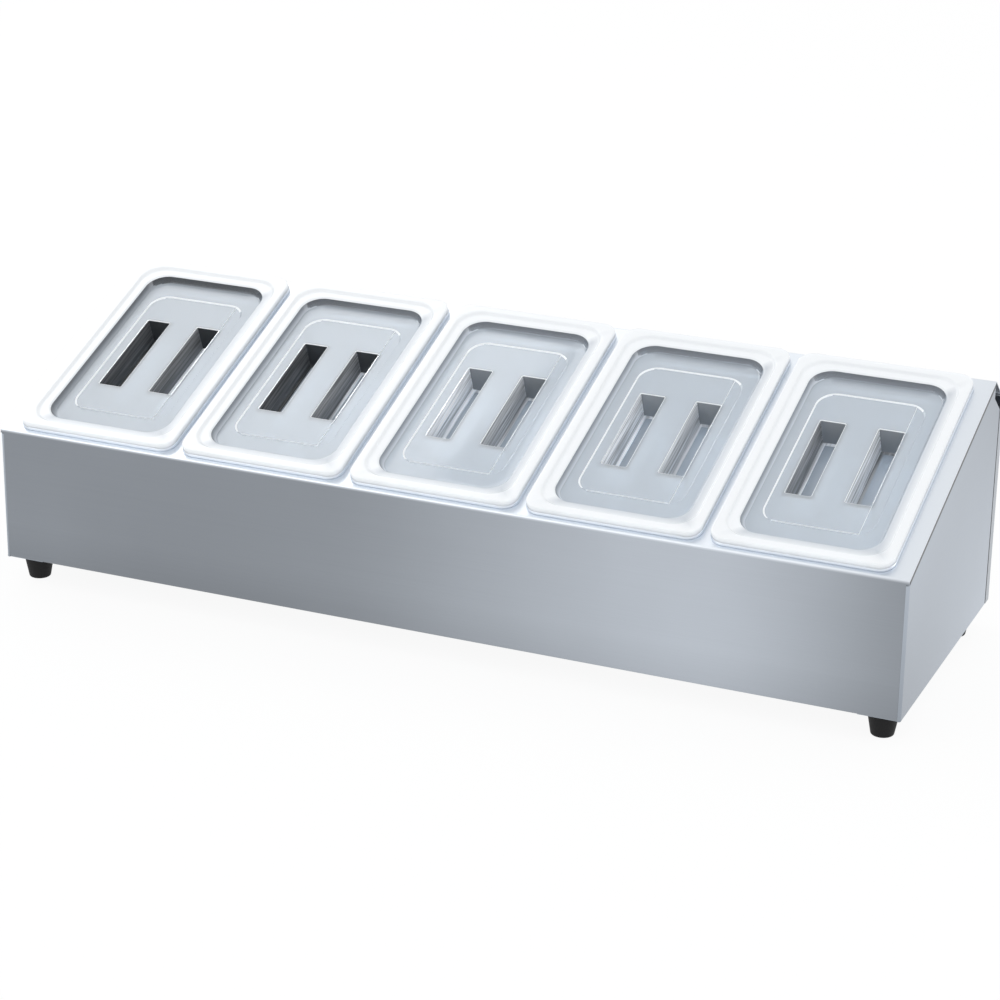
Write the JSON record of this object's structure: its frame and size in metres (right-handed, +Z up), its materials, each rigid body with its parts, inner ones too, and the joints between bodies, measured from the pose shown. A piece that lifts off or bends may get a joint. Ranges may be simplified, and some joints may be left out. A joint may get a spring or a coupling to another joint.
{
  "type": "gastronorm pan stand",
  "caption": "Sloping stainless countertop stand on rubber feet, with lift-out gastronorm food pans under clear lids with finger pockets.",
  "frame": {"origin": "under the middle of the whole object, in the plane that the feet stand on", "axes": "+X to the right along the front, +Y to the rear, +Z up"},
  "size_m": [0.87, 0.2942, 0.2513],
  "materials": {
    "steel_body": "brushed",
    "steel_pan": "satin",
    "clear_lid": "clear, gloss",
    "rubber_foot": "matte",
    "fastener": "plain"
  },
  "bodies": {
    "stand": {"front_and_deck": "steel_body", "side_panel_left": "steel_body", "side_panel_right": "steel_body", "rear_cover": "steel_body", "cover_screws": "fastener", "front_feet": "rubber_foot", "rear_feet": "rubber_foot", "foot_screws": "fastener", "foot_nuts": "fastener", "foot_washers": "fastener"},
    "pan_1": {"pan_1": "steel_pan"},
    "lid_1": {"lid_1": "clear_lid"},
    "pan_2": {"pan_2": "steel_pan"},
    "lid_2": {"lid_2": "clear_lid"},
    "pan_3": {"pan_3": "steel_pan"},
    "lid_3": {"lid_3": "clear_lid"},
    "pan_4": {"pan_4": "steel_pan"},
    "lid_4": {"lid_4": "clear_lid"},
    "pan_5": {"pan_5": "steel_pan"},
    "lid_5": {"lid_5": "clear_lid"}
  },
  "joints": [
    {"name": "pan_1_lift", "type": "slide", "parent": "stand", "child": "pan_1", "axis": [0, -0.342, 0.9397], "range_m": [0, 0.115]},
    {"name": "lid_1_lift", "type": "slide", "parent": "pan_1", "child": "lid_1", "axis": [0, -0.342, 0.9397], "range_m": [0, 0.045]},
    {"name": "pan_2_lift", "type": "slide", "parent": "stand", "child": "pan_2", "axis": [0, -0.342, 0.9397], "range_m": [0, 0.115]},
    {"name": "lid_2_lift", "type": "slide", "parent": "pan_2", "child": "lid_2", "axis": [0, -0.342, 0.9397], "range_m": [0, 0.045]},
    {"name": "pan_3_lift", "type": "slide", "parent": "stand", "child": "pan_3", "axis": [0, -0.342, 0.9397], "range_m": [0, 0.115]},
    {"name": "lid_3_lift", "type": "slide", "parent": "pan_3", "child": "lid_3", "axis": [0, -0.342, 0.9397], "range_m": [0, 0.045]},
    {"name": "pan_4_lift", "type": "slide", "parent": "stand", "child": "pan_4", "axis": [0, -0.342, 0.9397], "range_m": [0, 0.115]},
    {"name": "lid_4_lift", "type": "slide", "parent": "pan_4", "child": "lid_4", "axis": [0, -0.342, 0.9397], "range_m": [0, 0.045]},
    {"name": "pan_5_lift", "type": "slide", "parent": "stand", "child": "pan_5", "axis": [0, -0.342, 0.9397], "range_m": [0, 0.115]},
    {"name": "lid_5_lift", "type": "slide", "parent": "pan_5", "child": "lid_5", "axis": [0, -0.342, 0.9397], "range_m": [0, 0.045]}
  ]
}
